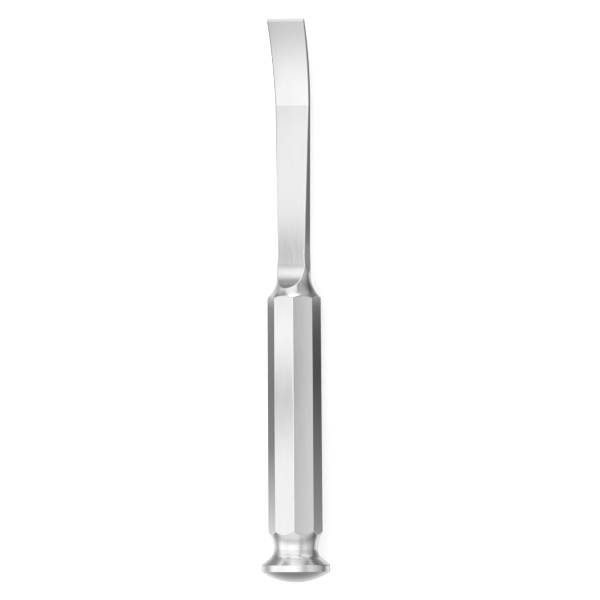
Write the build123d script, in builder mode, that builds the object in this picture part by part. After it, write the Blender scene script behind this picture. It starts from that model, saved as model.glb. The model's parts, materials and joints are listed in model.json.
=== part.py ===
"""An osteotome: a bone chisel worked from one bar of stainless steel.

Striking head, waist, eight-sided handle, flare and blade are one piece.
It lies as it comes to rest, on the rim of the head and the front of one flat.
All sizes are in millimetres and all angles in degrees.
"""
import math
import os

from build123d import *

os.makedirs("parts", exist_ok=True)

# Striking head, at the rear end
head_diameter = 25.0
dome_height = 4.0
rim_width = 2.3
rim_round = 0.4
cone_angle = 50.0
cone_fillet = 4.0

# Waist between the head and the handle
waist_diameter = 15.85
waist_sweep = 11.5

# Handle: eight flats on a slim taper, from the waist to the front end of the flare
handle_length = 99.5
flats_rear = 18.4
flats_front = 18.0
ridge_round = 0.55
runout_round = 0.5

# Flare and neck, where the handle comes down to the blade
flare_radius = 10.6
neck_length = 9.4
neck_clearance = 0.06
flank_clearance = 0.12
scoop_radius = 10.9
scoop_reach = 4.2
flank_radius = 45.0

# Blade: a long wedge that thins and widens from the neck to the edge
blade_length = 84.0
root_width = 11.05
edge_width = 15.0
root_front = 2.4
root_back = 2.55

# Hooked front end of the blade, bent up towards the front face
hook_length = 31.6
crease_front = 0.87
crease_back = 0.6
hook_radius = 125.0
edge_lift = 6.05
bevel_length = 1.0
bevel_thickness = 0.8
bevel_slope = 18.0
edge_land = 0.05

# Rounded edges of the blade: the front ones are broader than the back ones
flank_soften = 1.0
front_round = 0.5
back_round = 0.2

# The handle has eight flats, and each arc that runs out into waste turns this far
flat_count = 8
runout_turn = 80

# Stations along the axis, from the crown of the dome
head_radius = head_diameter / 2
dome_radius = (head_radius**2 + dome_height**2) / (2 * dome_height)
waist_radius = waist_diameter / 2
cone = math.radians(cone_angle)
cone_foot_radius = waist_radius + cone_fillet * (1 - math.cos(cone))
rim_end = dome_height + rim_width
cone_foot = rim_end + (head_radius - cone_foot_radius) / math.tan(cone)
waist_at = cone_foot + cone_fillet * math.sin(cone)
neck_at = waist_at + handle_length
scoop_at = neck_at + scoop_reach
root_at = neck_at + neck_length
edge_at = root_at + blade_length
crease_at = edge_at - hook_length

# The neck is turned just clear of the corners of the blade's root
flat_share = (root_at - scoop_at) / (crease_at - scoop_at)
front_at_root = root_front + (crease_front - root_front) * flat_share
back_at_root = root_back + (crease_back - root_back) * flat_share
neck_radius = math.hypot(root_width / 2, max(front_at_root, back_at_root)) + neck_clearance

# The flanks ease outwards just far enough to clear the neck
flank_rise = neck_radius + flank_clearance - root_width / 2
flank_turn = math.degrees(math.acos(1 - flank_rise / flank_radius))

# Whatever lies outside this radius is waste, and tools run out into it
waste_radius = max(waist_radius + waist_sweep, neck_radius + flare_radius) + flats_rear / 2


# Turned envelope of the bar, from the waist to the neck, with the blade's blank left full
with BuildPart() as turned_bar:
    with BuildSketch(Plane.XZ):
        with BuildLine():
            sweep_arc = JernArc((waist_at, waist_radius), (1, 0), waist_sweep, runout_turn)
            flare_arc = JernArc((neck_at, neck_radius), (-1, 0), flare_radius, -runout_turn)
            Polyline(
                sweep_arc @ 1,
                ((sweep_arc @ 1).X, waste_radius),
                ((flare_arc @ 1).X, waste_radius),
                flare_arc @ 1,
            )
            Polyline(
                flare_arc @ 0,
                (root_at, neck_radius),
                (root_at, waste_radius),
                (edge_at, waste_radius),
                (edge_at, 0),
                (waist_at, 0),
                sweep_arc @ 0,
            )
        make_face()
    revolve(axis=Axis.X)

# The flats, milled in opposite pairs, with their ridges eased, and clear room ahead for the blade
with BuildPart() as flats:
    for pair in range(flat_count // 2):
        with BuildSketch(Plane.XZ.rotated((360 / flat_count * pair, 0, 0))):
            with BuildLine():
                rear = Vector(waist_at, flats_rear / 2)
                front = Vector(neck_at, flats_front / 2)
                Polyline((waist_at, 0), rear, front, (neck_at, 0))
                mirror(about=Plane.XZ)
            make_face()
        extrude(amount=waste_radius, both=True, mode=Mode.INTERSECT if pair else Mode.ADD)
    fillet(edges().filter_by(lambda edge: edge.length > handle_length * 0.9), ridge_round)
    with BuildSketch(Plane.YZ.offset(neck_at)):
        Circle(waste_radius)
    extrude(amount=edge_at - neck_at)

# Blade form: the side outline with its two scoops, crossed with the plan outline
with BuildPart() as blade_form:
    with BuildSketch(Plane.XZ):
        with BuildLine():
            scoop_front = Vector(scoop_at, root_front)
            crease = Vector(crease_at, crease_front)
            scoop_under = Vector(scoop_at, -root_back)
            crease_under = Vector(crease_at, -crease_back)
            tip = Vector(edge_at, edge_lift)
            forward = Vector(1, 0).rotate(Axis.Z, bevel_slope)
            across = Vector(0, 1).rotate(Axis.Z, bevel_slope)
            shoulder = tip - forward * bevel_length
            shoulder_front = shoulder + across * (bevel_thickness / 2)
            shoulder_under = shoulder - across * (bevel_thickness / 2)
            top = JernArc(scoop_front, scoop_front - crease, scoop_radius, -runout_turn)
            Line(scoop_front, crease)
            RadiusArc(crease, shoulder_front, -hook_radius)
            Polyline(
                shoulder_front,
                tip + across * (edge_land / 2),
                tip - across * (edge_land / 2),
                shoulder_under,
            )
            TangentArc(crease_under, shoulder_under, tangent=crease_under - scoop_under)
            Line(crease_under, scoop_under)
            bottom = JernArc(scoop_under, scoop_under - crease_under, scoop_radius, runout_turn)
            Polyline(
                top @ 1,
                ((top @ 1).X, waste_radius),
                (waist_at, waste_radius),
                (waist_at, -waste_radius),
                ((bottom @ 1).X, -waste_radius),
                bottom @ 1,
            )
        make_face()
    extrude(amount=waste_radius, both=True)
    with BuildSketch(Plane.XY):
        with BuildLine():
            root_corner = Vector(root_at, root_width / 2)
            edge_corner = Vector(edge_at, edge_width / 2)
            Polyline((edge_at, 0), edge_corner, root_corner)
            ease = JernArc(root_corner, root_corner - edge_corner, flank_radius, -flank_turn)
            rise = JernArc(ease @ 1, ease % 1, flare_radius - neck_clearance, -runout_turn)
            Polyline(rise @ 1, ((rise @ 1).X, waste_radius), (waist_at, waste_radius), (waist_at, 0))
            mirror(about=Plane.XZ)
        make_face()
    extrude(amount=waste_radius, both=True, mode=Mode.INTERSECT)


def blade_edges(side):
    """Long edges round the blade's front faces (side 1) or back faces (side -1)."""
    broad = worked_bar.faces().filter_by(
        lambda face: face.geom_type in (GeomType.PLANE, GeomType.CYLINDER)
        and face.normal_at().Z * side > 0.4
        and neck_at - flare_radius < face.center().X < edge_at - bevel_length
        and abs(face.center().Y) < root_width / 4
    )
    return broad.edges().filter_by(lambda edge: edge.bounding_box().size.X > bevel_length / 4)


def flank_ends():
    """Edges where the ground flanks run out on the turned neck, slanting across the bar's sides."""
    near = worked_bar.edges().filter_by(lambda edge: neck_at < edge.center().X < root_at)
    sides = near.filter_by(lambda edge: abs(edge.center().Z) < root_front)
    slanting = sides.filter_by(lambda edge: edge.bounding_box().size.Z > root_front / 3)
    return slanting.filter_by(GeomType.LINE, reverse=True)


def runout_edges(start, end):
    """Edges where the flats run out between two stations."""
    near = worked_bar.edges().filter_by(lambda edge: start < edge.center().X < end)
    short = near.filter_by(lambda edge: edge.length < handle_length / 2)
    return short.filter_by(
        lambda edge: math.hypot((edge @ 0.5).Y, (edge @ 0.5).Z) > flats_front / 2 - runout_round
    )


# The bar itself: turned, flatted, ground, and its edges rounded
with BuildPart() as worked_bar:
    add(turned_bar.part)
    add(flats.part, mode=Mode.INTERSECT)
    add(blade_form.part, mode=Mode.INTERSECT)
    fillet(flank_ends(), flank_soften)
    fillet(blade_edges(1), front_round)
    fillet(blade_edges(-1), back_round)
    fillet(runout_edges(waist_at, waist_at + waist_sweep), runout_round)
    fillet(runout_edges(neck_at - flare_radius, neck_at - flare_radius / 2), runout_round)
    # Mushroom head: dome, rim, cone and the cone's foot on the waist
    with BuildSketch(Plane.XZ):
        with BuildLine():
            RadiusArc((0, 0), (dome_height, head_radius), dome_radius)
            Polyline((dome_height, head_radius), (rim_end, head_radius), (cone_foot, cone_foot_radius))
            RadiusArc((cone_foot, cone_foot_radius), (waist_at, waist_radius), -cone_fillet)
            Polyline((waist_at, waist_radius), (waist_at, 0), (0, 0))
        make_face()
    revolve(axis=Axis.X)
    circles = edges().filter_by(GeomType.CIRCLE)
    rim = circles.filter_by(lambda edge: math.isclose(edge.radius, head_radius))
    fillet(rim.sort_by(Axis.X)[-1], rim_round)

# Lying at rest: a line that touches the rim's round and the front end of the bottom flat
flare_depth = flare_radius + neck_radius - flats_front / 2
flat_end = neck_at - math.sqrt(flare_radius**2 - flare_depth**2)
contact_run = flat_end - (rim_end - rim_round)
contact_rise = head_radius - rim_round - flats_front / 2
rest_tilt = math.degrees(
    math.atan2(contact_rise, contact_run)
    + math.asin(rim_round / math.hypot(contact_rise, contact_run))
)
lying_bar = worked_bar.part.rotate(Axis.Y, rest_tilt)
lying_box = lying_bar.bounding_box()

with BuildPart() as osteotome:
    with Locations((-lying_box.center().X, -lying_box.center().Y, -lying_box.min.Z)):
        add(lying_bar)

osteotome.part.label = "osteotome"
export_step(osteotome.part, "parts/osteotome.step")
print(f"osteotome: {osteotome.part.volume:.0f} cubic mm, resting tilt {rest_tilt:.2f} degrees")
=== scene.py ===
# %% [markdown]
# # A one-piece steel osteotome, seen from above
#
# This tool is a bone chisel made from a single bar of stainless steel. From one end to the
# other it has a domed striking head, a turned cone and waist, a handle with eight flats,
# a turned flare, and a long thin blade that hooks up a little at the cutting edge.
# The shape comes ready made; this lesson gives it its steel and lights it.

import json
import math

import bpy
from mathutils import Matrix, Vector

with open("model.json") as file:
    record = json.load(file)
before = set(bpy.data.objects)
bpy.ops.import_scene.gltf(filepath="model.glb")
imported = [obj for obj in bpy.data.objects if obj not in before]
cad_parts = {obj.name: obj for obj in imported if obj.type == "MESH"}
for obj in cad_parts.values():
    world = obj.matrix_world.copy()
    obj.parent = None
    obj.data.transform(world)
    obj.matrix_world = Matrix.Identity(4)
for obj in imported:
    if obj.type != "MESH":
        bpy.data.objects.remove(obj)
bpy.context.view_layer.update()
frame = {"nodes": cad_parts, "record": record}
osteotome = frame["nodes"]["osteotome"]
print("faces in the osteotome:", len(osteotome.data.polygons))

# %% [markdown]
# ## Finding the tool's own axis
#
# The osteotome lies on its head's rim and on the front of one flat, so its axis dips a
# little. The slope could be typed in, but it would be wrong as soon as the tool lay in
# another way. The record names the crown of the dome and the way it points, so the axis
# is read from there. Every mark on the steel is then placed by its station, which is its
# distance from the crown along the axis.

# %% The axis and the stations along it
mm = 0.001
dome = next(m for m in frame["record"]["mounts"] if m["name"] == "striking_dome")
crown = Vector(dome["pos_m"])
axis = -Vector(dome["axis"]).normalized()
dip = math.asin(-axis.z)
print("axis", tuple(round(v, 4) for v in axis), "dips", round(math.degrees(dip), 2), "degrees")


def on_axis(station):
    """The point of the tool's axis at a station, in metres from the crown."""
    return crown + axis * station


# %% [markdown]
# ## The camera
#
# The tool is seen from above through a long lens, with the blade pointing to the top of
# the picture. The camera looks down on the axis, and is turned about it by about a quarter
# of the way to the horizon, so that one ridge of the handle faces it. A camera can be aimed
# by eye, but here its three directions are built from the tool's axis, which keeps the
# tool upright in the picture. From six metres away there is hardly any perspective.

# %% The directions of the picture
turn_about_axis = math.radians(25.5)
picture_lean = math.radians(0.35)
side_way = Vector((0.0, 1.0, 0.0))
upright = axis.cross(side_way) * -1
if upright.z < 0:
    upright = -upright
to_viewer = upright * math.cos(turn_about_axis) - side_way * math.sin(turn_about_axis)
picture_right = axis.cross(to_viewer).normalized()
picture_up = axis * math.cos(picture_lean) + picture_right * math.sin(picture_lean)
picture_across = picture_up.cross(to_viewer).normalized()
print("the viewer is towards", tuple(round(v, 3) for v in to_viewer))

# %% Camera over the axis
picture_height = 218.04 * mm
aim = on_axis(102.65 * mm) + picture_right * 2.155 * mm
camera_distance = 6.0
nearest_seen, farthest_seen = 0.5, 30.0
camera = bpy.data.objects.new("camera", bpy.data.cameras.new("camera"))
bpy.context.scene.collection.objects.link(camera)
camera.data.sensor_width = 36.0
camera.data.lens = camera.data.sensor_width * camera_distance / picture_height
camera.data.clip_start = nearest_seen
camera.data.clip_end = farthest_seen
turn = Matrix((picture_across, picture_up, to_viewer)).transposed().to_4x4()
camera.matrix_world = Matrix.Translation(aim + to_viewer * camera_distance) @ turn
bpy.context.scene.camera = camera
print("lens", round(camera.data.lens, 1), "mm at", camera_distance, "m")

# %% [markdown]
# ## Helpers for building a finish
#
# A finish in Blender is a tree of nodes. It can be laid out by hand in the shader editor;
# a script makes the same tree each time it runs. These helpers each add one node or one
# small group, and set them in a row in the order in which they are made, so that the tree
# can also be read from left to right in the editor.

# %% Nodes and arithmetic
node_gap = 220


def add_node(tree, kind, **settings):
    """A new node of a kind, with its settings, placed after the ones made before it."""
    node = tree.nodes.new(kind)
    node.location = (node_gap * len(tree.nodes), 0)
    for name, value in settings.items():
        setattr(node, name, value)
    return node


def feed(tree, socket, value):
    """Sets a socket to a number, or joins the output of another node to it."""
    if isinstance(value, (int, float)):
        socket.default_value = value
    else:
        tree.links.new(value, socket)


def math_node(tree, operation, *values):
    """One step of arithmetic on numbers or on the outputs of other nodes."""
    node = add_node(tree, "ShaderNodeMath", operation=operation)
    for socket, value in zip(node.inputs, values):
        feed(tree, socket, value)
    return node.outputs[0]


def blend(tree, share, low, high):
    """A mix of two values by a share from 0 to 1."""
    node = add_node(tree, "ShaderNodeMix")
    for name, value in (("Factor", share), ("A", low), ("B", high)):
        feed(tree, node.inputs[name], value)
    return node.outputs["Result"]


print("nodes are set", node_gap, "apart in the editor")


# %% Ramps and directions
def ramp(tree, source, stops):
    """Turns a value into another by straight lines between stops of (value, result)."""
    low, high = stops[0][0], stops[-1][0]
    spread = add_node(tree, "ShaderNodeMapRange")
    spread.inputs["From Min"].default_value = low
    spread.inputs["From Max"].default_value = high
    tree.links.new(source, spread.inputs["Value"])
    node = add_node(tree, "ShaderNodeFloatCurve")
    curve = node.mapping.curves[0]
    points = [((value - low) / (high - low), result) for value, result in stops]
    curve.points[0].location = points[0]
    curve.points[1].location = points[-1]
    for point in points[1:-1]:
        curve.points.new(*point)
    for point in curve.points:
        point.handle_type = "VECTOR"
    node.mapping.update()
    tree.links.new(spread.outputs["Result"], node.inputs["Value"])
    return node.outputs["Value"]


def part_along(tree, source, direction):
    """How much of a vector lies along a direction."""
    along = add_node(tree, "ShaderNodeVectorMath", operation="DOT_PRODUCT")
    along.inputs[1].default_value = direction
    tree.links.new(source, along.inputs[0])
    return along.outputs["Value"]


def offset_from(tree, place, point):
    """The vector from a fixed point to a place."""
    offset = add_node(tree, "ShaderNodeVectorMath", operation="SUBTRACT")
    offset.inputs[1].default_value = point
    tree.links.new(place, offset.inputs[0])
    return offset.outputs["Vector"]


# The tool's own directions as the shape's own coordinates give them
to_part = osteotome.matrix_world.inverted()
part_crown = to_part @ crown
part_axis = (to_part.to_3x3() @ axis).normalized()
part_side = (to_part.to_3x3() @ side_way).normalized()
part_up = (to_part.to_3x3() @ upright).normalized()
print("axis in the shape's own coordinates", tuple(round(v, 4) for v in part_axis))

# %% [markdown]
# ## Satin steel
#
# The bar is hardened stainless steel. The head, waist and flare were turned, so their
# finest marks run round the axis; the flats and the blade were ground and then
# brushed lengthwise. All marks are very fine, which makes the steel satin and not mirror.
# They could be painted on a picture, but that would need unwrapping and would blur close
# up. Noise stretched along the axis gives brushed marks, and noise squeezed along it gives
# turned ones. The same noise changes shade, gloss and a very shallow bump together, as
# real scratches do, and a broader noise makes the gloss a little cloudy.

# %% How fine the marks are
# Each is how fine the noise is along, across and up, as factors, and then its scale per mm
brushed_lengthwise = ((0.03, 1.0, 1.0), 4.0)
turned_round = ((1.0, 0.02, 0.02), 5.0)
cloudy_patches = ((0.3, 1.0, 1.0), 0.35)
noise_detail = 3.0
mark_strength, mark_depth = 0.25, 0.004 * mm

# Share of turned marks by station in mm: head and waist, then flare; the rest is brushed
turned_by_station = [
    (0, 1), (17.5, 1), (19, 0), (103.5, 0), (105, 1), (112, 1), (116, 0), (210, 0),
]

# What the noise, from its low to its high values, does to shade and roughness
shade_by_mark = [(0.3, 0.765), (0.7, 0.805)]
roughness_by_mark = [(0.3, 0.17), (0.7, 0.22)]
roughness_by_cloud = [(0.3, -0.02), (0.7, 0.03)]
blue_over_red = 1.01
print("marks are", round(mark_depth / mm, 4), "mm deep")


# %% Satin steel, brushed along the blade and turned round the head
def marks(tree, places, kind):
    """Marks from noise that is fine along some of its three places and drawn out along others."""
    factors, scale = kind
    joined = add_node(tree, "ShaderNodeCombineXYZ")
    for socket, place, factor in zip(joined.inputs, places, factors):
        tree.links.new(math_node(tree, "MULTIPLY", place, factor), socket)
    noise = add_node(tree, "ShaderNodeTexNoise")
    noise.inputs["Scale"].default_value = scale
    noise.inputs["Detail"].default_value = noise_detail
    tree.links.new(joined.outputs["Vector"], noise.inputs["Vector"])
    return noise.outputs["Fac"]


def satin_steel():
    """Bright stainless steel, turned at head, waist and flare and brushed elsewhere."""
    steel = bpy.data.materials.new("satin_steel")
    steel.use_nodes = True
    tree = steel.node_tree
    shader = tree.nodes["Principled BSDF"]
    shader.inputs["Metallic"].default_value = 1.0
    place = add_node(tree, "ShaderNodeTexCoord").outputs["Object"]
    from_crown = offset_from(tree, place, part_crown)
    station = part_along(tree, from_crown, part_axis / mm)
    across = part_along(tree, from_crown, part_side / mm)
    upward = part_along(tree, from_crown, part_up / mm)
    brushed = marks(tree, (station, across, upward), brushed_lengthwise)
    turned = marks(tree, (station, across, upward), turned_round)
    cloudy = marks(tree, (station, across, upward), cloudy_patches)
    fine = blend(tree, ramp(tree, station, turned_by_station), brushed, turned)

    shade = ramp(tree, fine, shade_by_mark)
    tint = add_node(tree, "ShaderNodeCombineColor")
    tree.links.new(shade, tint.inputs["Red"])
    tree.links.new(shade, tint.inputs["Green"])
    tree.links.new(math_node(tree, "MULTIPLY", shade, blue_over_red), tint.inputs["Blue"])
    tree.links.new(tint.outputs["Color"], shader.inputs["Base Color"])

    gloss = ramp(tree, fine, roughness_by_mark)
    clouds = ramp(tree, cloudy, roughness_by_cloud)
    tree.links.new(math_node(tree, "ADD", gloss, clouds), shader.inputs["Roughness"])

    bump = add_node(tree, "ShaderNodeBump")
    bump.inputs["Strength"].default_value = mark_strength
    bump.inputs["Distance"].default_value = mark_depth
    tree.links.new(fine, bump.inputs["Height"])
    tree.links.new(bump.outputs["Normal"], shader.inputs["Normal"])
    return steel


osteotome.data.materials.clear()
osteotome.data.materials.append(satin_steel())
print("nodes in the steel:", len(osteotome.active_material.node_tree.nodes))

# %% [markdown]
# ## The white tent
#
# Bright steel has almost no shade of its own: what is seen on it is what it mirrors. Such
# a tool is lit inside a white tent that is left darker in places, so that each flat and
# each round gets a tone of its own. Lamps and boards could stand for that tent, but their
# hard edges would show in the steel. Here the tent is the world itself, and its
# brightness changes smoothly with direction. It goes by the angle away from the viewer,
# with one set of stops each for the left, the right, the head and the tip, and then by
# the tilt along the axis. The camera sees it as plain white.

# %% How bright the tent is
# Stops of (degrees away from the viewer, brightness), for the four sides of the tent
left_by_angle = [
    (0, 1.3), (6, 1.3), (12, 1.25), (34, 1.25), (47, 1.14), (56, 1.14), (66, 1.25), (82, 1.25),
    (92, 0.9), (104, 0.5), (116, 0.5), (128, 0.8), (158, 1.1), (168, 0.4), (180, 0.3),
]
right_by_angle = [
    (0, 1.3), (6, 1.3), (12, 1.05), (24, 0.92), (34, 0.88), (60, 0.82), (74, 0.62), (90, 0.5),
    (100, 0.4), (106, 0.2), (114, 0.2), (121, 0.6), (150, 1.1), (160, 0.4), (180, 0.25),
]
head_by_angle = [
    (0, 1.3), (60, 1.05), (90, 0.95), (102, 0.5), (110, 0.22), (130, 0.38), (142, 0.8),
    (150, 1.2), (160, 1.1), (168, 0.4), (180, 0.3),
]
tip_by_angle = [
    (0, 1.15), (30, 1.2), (60, 1.0), (90, 1.2), (120, 1.2), (160, 1.2), (170, 0.5), (180, 0.4),
]

# Stops of (tilt, factor): -1 is towards the head, 0 square to the axis, 1 towards the tip
along_by_tilt = [
    (-1.0, 0.95), (-0.7, 0.85), (-0.52, 0.57), (-0.4, 0.75), (-0.31, 0.96), (-0.2, 1.1),
    (-0.1, 1.12), (-0.03, 1.03), (0.03, 0.96), (0.08, 0.9), (0.4, 0.95), (0.82, 1.05),
    (0.95, 1.25), (1.0, 1.4),
]

# Where one side of the tent gives way to the next, seen round the line to the viewer
right_by_rightness = [(-0.4, 0.0), (0.1, 1.0)]
tip_by_tipness = [(0.55, 0.0), (0.95, 1.0)]
head_by_tipness = [(-0.95, 1.0), (-0.55, 0.0)]
print("dimmest part of the tent's right side:", min(level for _, level in right_by_angle))


# %% The tent
def white_tent():
    """A world whose brightness goes by direction, and that the camera sees as white."""
    room = bpy.data.worlds.new("tent")
    room.use_nodes = True
    tree = room.node_tree
    towards = add_node(tree, "ShaderNodeTexCoord").outputs["Generated"]
    tilt = part_along(tree, towards, axis)
    rightward = part_along(tree, towards, picture_right)
    nearer = part_along(tree, towards, to_viewer)
    angle = math_node(tree, "DEGREES", math_node(tree, "ARCCOSINE", nearer))
    sideways = math_node(tree, "MULTIPLY", tilt, tilt)
    sideways = math_node(tree, "MULTIPLY_ADD", rightward, rightward, sideways)
    sideways = math_node(tree, "SQRT", sideways)
    rightness = math_node(tree, "DIVIDE", rightward, sideways)
    tipness = math_node(tree, "DIVIDE", tilt, sideways)

    brightness = ramp(tree, angle, left_by_angle)
    for by_angle, source, share_stops in (
        (right_by_angle, rightness, right_by_rightness),
        (head_by_angle, tipness, head_by_tipness),
        (tip_by_angle, tipness, tip_by_tipness),
    ):
        share = ramp(tree, source, share_stops)
        brightness = blend(tree, share, brightness, ramp(tree, angle, by_angle))
    brightness = math_node(tree, "MULTIPLY", brightness, ramp(tree, tilt, along_by_tilt))

    seen = add_node(tree, "ShaderNodeLightPath").outputs["Is Camera Ray"]
    background = tree.nodes["Background"]
    background.inputs["Color"].default_value = (1.0, 1.0, 1.0, 1.0)
    tree.links.new(blend(tree, seen, brightness, 1.0), background.inputs["Strength"])
    return room


bpy.context.scene.world = white_tent()
bpy.context.scene.view_settings.view_transform = "Standard"
print("nodes in the tent:", len(bpy.context.scene.world.node_tree.nodes))

# %% [markdown]
# ## A sleeve of thin grey scrims
#
# The tent changes with direction only, so a long flat would mirror one tone from end to
# end. On the real tool the tones also drift along its length: the lower flats darken from
# the waist on, and the scoop at the root of the blade is shaded. More lamps could do that,
# but they would light the whole tool. Here a sleeve of thin cloth stands round the tool,
# and only mirror rays see it. Each scrim on it is a patch that covers some angles round
# the axis, and lets by more or less light along it. A place on the steel is dimmed by the
# cloth that its mirror ray passes, which can be well ahead of it: the scoop leans so
# much that its rays pass the sleeve beside the blade.

# %% The scrims
# Each is its cover, by degrees round the axis from the viewer with the right as plus, and
# then the light it lets by, by the station of the cloth in mm
low_left = (
    [(-180, 0), (-160, 0), (-146, 1), (-118, 1), (-104, 0), (180, 0)],
    [
        (12, 1.0), (24, 0.72), (48, 0.3), (70, 0.24), (96, 0.3), (101, 0.3), (104, 0.9),
        (140, 0.9), (155, 0.4), (240, 0.4),
    ],
)
low_right = (
    [(-180, 0), (100, 0), (111, 1), (140, 1), (152, 0), (180, 0)],
    [
        (10, 1.0), (18, 0.45), (50, 0.24), (75, 0.12), (90, 0.14), (101, 0.25), (106, 0.8),
        (114, 0.8), (122, 0.45),
    ],
)
top_left = (
    [(-80, 0), (-65, 1), (-38, 1), (-28, 0)],
    [
        (0, 0.98), (45, 0.96), (67, 0.62), (82, 0.93), (92, 1.05), (101, 0.93), (110, 0.93),
        (117, 0.68), (122, 0.58), (126, 0.62), (131, 0.84), (137, 0.97), (168, 1.0),
        (174, 0.94), (200, 0.94),
    ],
)
right_mid = (
    [(15, 0), (24, 1), (33, 1), (40, 0)],
    [(20, 0.7), (55, 0.62), (75, 0.5), (110, 0.62)],
)
scoop_side = (
    [(-170, 0), (-155, 1), (-68, 1), (-56, 0)],
    [(146, 1.0), (160, 0.7), (180, 0.38), (200, 0.3), (240, 0.3)],
)
flare_side = (
    [(15, 0), (30, 1), (150, 1), (165, 0)],
    [(114, 1.0), (128, 0.6), (200, 0.5)],
)
scrims = [low_left, low_right, top_left, right_mid, scoop_side, flare_side]
print("scrims:", len(scrims))


# %% Scrim cloth
def scrim_cloth():
    """Thin grey cloth that lets light by according to angle and station."""
    cloth = bpy.data.materials.new("scrim_cloth")
    cloth.use_nodes = True
    tree = cloth.node_tree
    tree.nodes.clear()
    place = add_node(tree, "ShaderNodeNewGeometry").outputs["Position"]
    from_crown = offset_from(tree, place, crown)
    station = part_along(tree, from_crown, axis / mm)
    rightward = part_along(tree, from_crown, picture_right)
    nearer = part_along(tree, from_crown, to_viewer)
    angle = math_node(tree, "DEGREES", math_node(tree, "ARCTAN2", rightward, nearer))
    passes = 1.0
    for angles, stations in scrims:
        cover = ramp(tree, angle, angles)
        patch = blend(tree, cover, 1.0, ramp(tree, station, stations))
        passes = math_node(tree, "MULTIPLY", patch, passes)
    clear = add_node(tree, "ShaderNodeBsdfTransparent")
    tree.links.new(passes, clear.inputs["Color"])
    end = add_node(tree, "ShaderNodeOutputMaterial")
    tree.links.new(clear.outputs["BSDF"], end.inputs["Surface"])
    print("nodes in the scrim cloth:", len(tree.nodes))
    return cloth


# %% The sleeve round the tool
sleeve_radius = 60 * mm
sleeve_start, sleeve_stop = -40 * mm, 260 * mm
sleeve_strips = 64


def only_mirrored(thing):
    """Hides a thing from the camera and from plain light, so only shiny steel shows it."""
    thing.visible_camera = False
    thing.visible_diffuse = False
    thing.visible_shadow = False
    thing.visible_transmission = False


def hang_sleeve():
    """An open tube of scrim round the tool."""
    corners, faces = [], []
    for n in range(sleeve_strips):
        around = 2 * math.pi * n / sleeve_strips
        out = picture_right * math.sin(around) * sleeve_radius
        out += to_viewer * math.cos(around) * sleeve_radius
        corners += [on_axis(sleeve_start) + out, on_axis(sleeve_stop) + out]
        m = (n + 1) % sleeve_strips
        faces.append((2 * n, 2 * n + 1, 2 * m + 1, 2 * m))
    mesh = bpy.data.meshes.new("scrim_sleeve")
    mesh.from_pydata(corners, [], faces)
    mesh.materials.append(scrim_cloth())
    thing = bpy.data.objects.new("scrim_sleeve", mesh)
    bpy.context.scene.collection.objects.link(thing)
    only_mirrored(thing)
    return thing


scrim_sleeve = hang_sleeve()
print("strips in the sleeve:", len(scrim_sleeve.data.polygons))

# %% [markdown]
# ## The table
#
# The tool lies on a plain white matt table, with only a faint shadow under it. A pale
# background could come from stronger lamps, but those would also wash out the steel. The
# table keeps a light grey colour and is lifted to white for the camera by a little glow
# of its own, which leaves the shadow. It is hidden from mirror rays, because a white table
# mirrored in the steel takes away the dark tones of the lower flats.

# %% White table
table_grey = 0.8
table_roughness = 0.9
table_glow = 0.5
table_side = 4.0


def white_table_top():
    """Matt white with a glow for camera and mirror rays, though the latter never meet it."""
    table_white = bpy.data.materials.new("table_white")
    table_white.use_nodes = True
    tree = table_white.node_tree
    shader = tree.nodes["Principled BSDF"]
    shader.inputs["Base Color"].default_value = (table_grey, table_grey, table_grey, 1.0)
    shader.inputs["Roughness"].default_value = table_roughness
    shader.inputs["Specular IOR Level"].default_value = 0.0
    shader.inputs["Emission Color"].default_value = (1.0, 1.0, 1.0, 1.0)
    rays = add_node(tree, "ShaderNodeLightPath").outputs
    seen = math_node(tree, "MAXIMUM", rays["Is Camera Ray"], rays["Is Glossy Ray"])
    lift = math_node(tree, "MULTIPLY", seen, table_glow)
    tree.links.new(lift, shader.inputs["Emission Strength"])
    return table_white


def lay_table():
    """A square sheet at floor level, where the lowest point of the tool rests."""
    half = table_side / 2
    corners = [(-half, -half, 0), (half, -half, 0), (half, half, 0), (-half, half, 0)]
    mesh = bpy.data.meshes.new("table")
    mesh.from_pydata(corners, [], [(0, 1, 2, 3)])
    mesh.materials.append(white_table_top())
    thing = bpy.data.objects.new("table", mesh)
    bpy.context.scene.collection.objects.link(thing)
    thing.visible_glossy = False


lay_table()
print("table", table_side, "m on a side")
